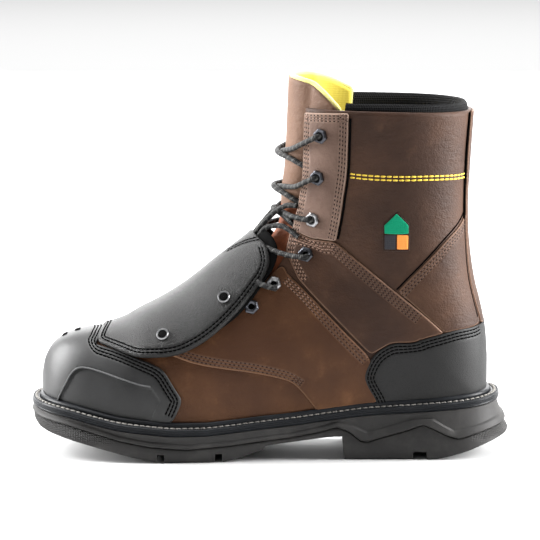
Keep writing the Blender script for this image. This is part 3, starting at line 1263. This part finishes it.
def strand(length, width, height=0.6, sides=6):
    """A short bar along X with drawn-in ends, for a stitch."""
    angles = np.linspace(0, 2 * np.pi, sides, endpoint=False)
    rings = [np.column_stack((np.full(sides, x * length), size * width / 2 * np.cos(angles),
                              size * width / 2 * height * np.sin(angles)))
             for x, size in ((-0.5, 0.35), (-0.36, 0.95), (0.36, 0.95), (0.5, 0.35))]
    points, faces = lofted(rings)
    return points, faces + [list(range(sides))[::-1], [3 * sides + k for k in range(sides)]]


def along_line(points, upwards, pitch):
    """Places at even distances on a line: each a middle and three directions."""
    run = np.concatenate(([0], np.cumsum(np.linalg.norm(np.diff(points, axis=0), axis=1))))
    if run[-1] < pitch:
        return []
    at = np.arange(pitch / 2, run[-1], pitch)
    ways = np.gradient(points, axis=0)
    middles, ways, normal = (np.stack([np.interp(at, run, values[:, k]) for k in range(3)], -1)
                             for values in (points, ways, upwards))
    ways /= np.linalg.norm(ways, axis=1, keepdims=True)
    across = np.cross(normal, ways)
    across /= np.linalg.norm(across, axis=1, keepdims=True)
    return list(zip(middles, ways, across, np.cross(ways, across)))


def stitched(name, rows, pitch, length, width, above, material, slot):
    places = []
    for line, high in rows:
        if len(line) > 3:
            u, s = from_flat(line)
            lift = high(on_form(u, s)) if callable(high) else high
            places += along_line(lifted(u, s, lift + above), normals(u, s), pitch)
    return copies(name, *strand(length, width), places, material, slot)


stitched("brown_stitches", upper_rows, 0.0029, 0.0018, 0.0008, -0.00016, STITCH_BROWN, "brown_leather")
stitched("black_stitches", black_rows, 0.0030, 0.0024, 0.0010, -0.00010, STITCH_BLACK, "black_leather")
DARK_GAPS = (
    (0.0008, 0.0007, [(44.7, 146.2), (49.0, 174.2), (51.6, 193.4), (52.3, 226.5)]),
    (0.0008, 0.0007, [(130.6, 228), (129.0, 210), (127.8, 186.9), (127.5, 160), (127.6, 146.6), (129.2, 123.5),
                      (133.2, 104), (136.5, 92)]),
    (0.0001, 0.0005, [(83.0, 113.2), (94.2, 125.2), (105.4, 137.3), (116.6, 149.4), (127.2, 161.0)]))
gaps = [tube(flat_points(side_path(table, side, False), lift), radius, 8)
        for side, _ in SIDES for lift, radius, table in DARK_GAPS]
finished("dark_gaps", mesh_of(*joined(gaps), STITCH_BLACK), angle=60)
yellow_rows = []
for side, _ in SIDES:
    for drop in (0, 2.3):
        table = [(51.8, 190.1 - drop), (65.7, 188.7 - drop), (92, 188.2 - drop), (109.5, 188.3 - drop),
                 (128.2, 187.3 - drop)]
        yellow_rows.append((side_path(table, side, False), 0.0))
stitched("yellow_stitches", yellow_rows, 0.0040, 0.0033, 0.0012, 0.0002, STITCH_YELLOW, "brown_leather")
channel_places, dot_places = [], []
for share, height, target, pitch in ((0.685, 5.05, channel_places, 0.0040), (0.88, 4.85, dot_places, 0.0016)):
    ring = welt_ring(share, height * MM)
    ring = np.vstack((ring, ring[:1]))
    target += along_line(ring, np.tile((0.0, 0.0, 1.0), (len(ring), 1)), pitch)
copies("welt_stitches", *strand(0.0034, 0.0020, 0.6), channel_places, STITCH_PALE, "welt_rubber")
copies("welt_dots", *strand(0.0009, 0.0009, 0.8), dot_places, WELT, "welt_rubber")

# Fittings and laces


def place_on(x, z, side, lift):
    u, s = locate(x * MM, z * MM)
    return lifted(u, side * s, lift)


def fitting_place(x, z, side):
    """The middle of a fitting on the form, and its directions, the last of them outwards."""
    u, s = locate(x * MM, z * MM)
    outward = normals(u, side * s)
    along = np.array((1.0, 0.0, 0.0)) - outward * outward[0]
    along /= np.linalg.norm(along)
    return on_form(u, side * s), along, np.cross(outward, along), outward


def turned_shape(levels, radius, sides):
    """Rings round Z from pairs of size and height; radius gives the outline of a ring at each angle."""
    angles = np.linspace(0, 2 * np.pi, sides, endpoint=False)
    rings = [np.column_stack((radius(angles, size) * np.cos(angles), radius(angles, size) * np.sin(angles),
                              np.full(sides, height))) * MM for size, height in levels]
    return lofted(rings)


def nut_outline(angles, size):
    hexagon = 4.45 / np.cos((angles + 0.26) % (np.pi / 3) - np.pi / 6)
    return np.where(size > 3.6, hexagon + (size - 5.0), size)


NUT = turned_shape(((5.0, 1.9), (5.0, 3.6), (4.2, 4.3), (3.1, 4.3), (2.1, 3.6), (2.05, 1.0)), nut_outline, 60)

def round_outline(angles, size):
    return np.full(len(angles), size)


STUD = turned_shape(((4.1, -0.6), (4.1, 0.7), (3.8, 1.05), (3.3, 1.05), (3.0, 0.6), (0.05, 0.6)), round_outline, 40)
NUT_HOLE = turned_shape(((2.06, 1.4), (2.06, 2.2), (0.05, 2.2)), round_outline, 24)
STUD_MIDDLE = turned_shape(((3.0, 0.5), (2.9, 0.8), (2.2, 1.0), (1.2, 1.1), (0.05, 1.15)), round_outline, 32)
for side, side_name in SIDES:
    for number, (x, z) in enumerate(EYELETS, 1):
        middle, along, across, outward = fitting_place(x, z, side)
        nut = copies(f"eyelet_nut_{side_name}_{number}", *NUT, [(middle, along, across, outward)],
                     SILVER if number in (3, 5) else GUNMETAL, "gunmetal", 30)
        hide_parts(f"eyelet_{side_name}_{number}")
        copies(f"nut_hole_{side_name}_{number}", *NUT_HOLE, [(middle, along, across, outward)], STITCH_BLACK,
               "gunmetal", 40)
    for number, (x, z) in enumerate(RIVETS, 1):
        middle, along, across, outward = fitting_place(x, z, side)
        middle = middle + outward * guard_lift(middle[None])[0]
        stud = copies(f"guard_stud_{side_name}_{number}", *STUD, [(middle, along, across, outward)], SILVER,
                      "gunmetal", 30)
        copies(f"stud_middle_{side_name}_{number}", *STUD_MIDDLE, [(middle, along, across, outward)], FOAM,
               "gunmetal", 40)
        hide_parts(f"rivet_{side_name}_{number}")


def lace(name, controls, nodes=()):
    route = smooth_route(controls)
    points, faces = tube(route, LACE_WIDTH / 2, 12)
    mesh = mesh_of(points, faces, CORD)
    wrap_map(mesh, lambda corners: (corners // 12 * 0.0012, corners % 12 / 12))
    return finished(name, mesh, nodes, 60)


def front_lift(u, s):
    return -0.0040 + 0.0085 * float(smooth((u - 11.5) / 6.5)) * max(1 - (s / 0.155) ** 2, 0)


def on_tongue(x, z, side, above):
    u, s = locate(x * MM, z * MM)
    return lifted(u, side * s, front_lift(float(u), float(s)) + above)


EDGE_Z, EDGE_X = (149, 163.2, 174.1, 187.2, 202.2, 228), (14.2, 18.3, 20.4, 22.2, 22.7, 23.3)
for number, middle_z in ((1, 200.0), (2, 175.5), (3, 160.5)):
    x, z = EYELETS[number - 1]
    u = float(np.interp(middle_z * MM, front_z(FLAT_U), FLAT_U))
    edge, low_edge = (float(np.interp(at, EDGE_Z, EDGE_X)) for at in (z, middle_z - 7))
    drop = middle_z - z
    for side, side_name in SIDES:
        over = 0.0034 if side == INNER else 0.0
        controls = [place_on(x, z, side, 0.0), place_on(x - 0.6, z, side, 0.0046),
                    place_on(x - 5.5, z + 0.22 * drop, side, 0.0052),
                    place_on(edge + 0.5, z + 0.45 * drop, side, 0.0046),
                    on_tongue(edge - 5, z + 0.72 * drop, side, 0.0030 + over / 2),
                    lifted(u, 0.0, front_lift(u, 0) + 0.0020 + over),
                    on_tongue(low_edge - 5, middle_z - 3, -side, 0.0022),
                    place_on(low_edge - 0.6, middle_z - 7, -side, -0.0012),
                    place_on(low_edge + 4, middle_z - 10, -side, -0.0065)]
        lace(f"lace_{side_name}_{number}", controls, [f"lace_crossing_{number}"] if side == OUTER else ())
LOOPS = (
    ("low", ((24.2, 133.9, -29.4), (24.0, 134.0, -34.5), (18.5, 134.2, -33.2), (12.8, 134.6, -29.5),
             (5.3, 136.0, -25.0), (-2.5, 138.5, -19.5))),
    ("lowest", ((3.0, 113.6, -30.0), (2.8, 113.8, -36.0), (-3.0, 115.2, -35.5), (-9.0, 117.5, -33.0))),
    ("high", ((-12, 143, -4), (-6, 150.5, -5), (0, 157.5, -7), (5.0, 162.2, -10), (11, 165.8, -15),
              (18, 166.5, -21))),
    ("middle", ((-9, 142, -7), (-3.5, 149.6, -9), (2, 151.8, -12), (8, 152.3, -16.5), (13, 150, -20),
                (19, 146, -24))))
for side, side_name in SIDES:
    for name, controls in LOOPS:
        lace(f"lace_{side_name}_{name}", np.array(controls)[:, (0, 2, 1)] * (MM, -side * MM, MM))

# The patch on the outer side, of plain colour bands


PATCH_PARTS = (
    ("patch_base", [(73.8, 139.2, .5), (91.2, 139.2, .5), (91.2, 156.6, .5), (82.5, 165.2, .5), (73.8, 156.6, .5)],
     0.0006, (0.020, 0.009, 0.005)),
    ("patch_top", [(74.6, 150.6, .3), (90.4, 150.6, .3), (90.4, 156.2, .3), (82.5, 164.0, .3), (74.6, 156.2, .3)],
     0.0008, (0.0, 0.22, 0.11)),
    ("patch_left", [(74.8, 140.2, .3), (82.1, 140.2, .3), (82.1, 149.8, .3), (74.8, 149.8, .3)],
     0.0008, (0.03, 0.03, 0.035)),
    ("patch_right", [(83.0, 140.2, .3), (90.2, 140.2, .3), (90.2, 149.8, .3), (83.0, 149.8, .3)],
     0.0008, (0.85, 0.28, 0.06)))
for name, table, lift, colour in PATCH_PARTS:
    cloth = woven(f"{name}_cloth", colour, tuple(1.3 * share for share in colour), 2600.0, 0.0001, 0.15)
    panel(name, [side_path(table, OUTER)], lift, 0.0005, cloth,
          ["side_patch"] if name == "patch_base" else (), edge=0.0003, cell=0.0015)

# The insole and the collar's padding

for slot in bpy.data.objects["insole"].material_slots:
    slot.material = INSOLE

collar_steps = np.concatenate((np.linspace(-0.35, -1, 70), np.linspace(1, 0.385, 70)[1:]))
profile = ((-2.5, 22.1), (-2.5, 23.05), (-3.1, 23.17), (-4.4, 23.24), (-5.9, 23.22), (-7.0, 23.12),
           (-7.5, 22.98), (-7.2, 22.7), (-6.4, 22.1))
rings = []
for step in collar_steps:
    outward = lifted(23.0, step, 1.0) - on_form(23.0, step)
    outward[2] = 0
    outward /= np.linalg.norm(outward)
    rings.append(np.array([on_form(u, step) * (1, 1, 1) + outward * lift * MM for lift, u in profile]))
size = len(profile)
points, faces = lofted(rings)
faces += [list(range(size)), [(len(rings) - 1) * size + k for k in range(size)][::-1]]
collar = outwards(finished("collar_pad", mesh_of(points, faces, MESH_LINING), ["collar_padding"]))
# The camera, the light and the floor

camera_data = bpy.data.cameras.new("camera")
camera_data.lens, camera_data.sensor_width = 220, 36
camera = bpy.data.objects.new("camera", camera_data)
bpy.context.scene.collection.objects.link(camera)
camera.location = (0, -2.1758, 0.4457)
camera.rotation_euler = (Vector((0, 0, 0.1205)) - camera.location).to_track_quat("-Z", "Y").to_euler()
bpy.context.scene.camera = camera
bpy.context.scene.view_settings.view_transform = "Standard"

world = bpy.data.worlds.new("studio")
bpy.context.scene.world = world
world.use_nodes = True
world.node_tree.nodes["Background"].inputs["Color"].default_value = (1, 1, 1, 1)
world.node_tree.nodes["Background"].inputs["Strength"].default_value = 0.21


def softbox(name, place, target, size, watts):
    lamp = bpy.data.lights.new(name, "AREA")
    lamp.shape, lamp.size, lamp.size_y, lamp.energy = "RECTANGLE", *size, watts
    box = bpy.data.objects.new(name, lamp)
    bpy.context.scene.collection.objects.link(box)
    box.location = place
    box.rotation_euler = (Vector(target) - Vector(place)).to_track_quat("-Z", "Y").to_euler()


softbox("top_light", (0.0, 0.15, 1.5), (0, 0, 0.1), (1.1, 0.8), 32)
softbox("toe_light", (-1.4, 0.30, 0.72), (0, 0, 0.12), (0.5, 1.1), 78)
softbox("heel_light", (1.4, 0.0, 0.6), (0, 0, 0.14), (0.5, 1.0), 76)
softbox("back_light", (0.0, 2.6, 0.95), (0, 0, 0.2), (4.0, 1.4), 110)
softbox("floor_light", (0.0, 3.4, 2.4), (0, 3.4, 0), (5.0, 3.0), 160)
softbox("front_light", (-0.3, -2.2, 1.3), (0, 0, 0.1), (1.6, 1.0), 3)

deselect()
bpy.ops.mesh.primitive_plane_add(size=12, location=(0, 0, -0.0002))
floor = bpy.context.object
floor.name = "floor"
pale = Finish("pale_floor", 0.9)
pale.set("Base Color", (0.55, 0.55, 0.55))
floor.data.materials.append(pale.material)
floor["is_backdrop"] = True

low, top = (list(corner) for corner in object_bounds())
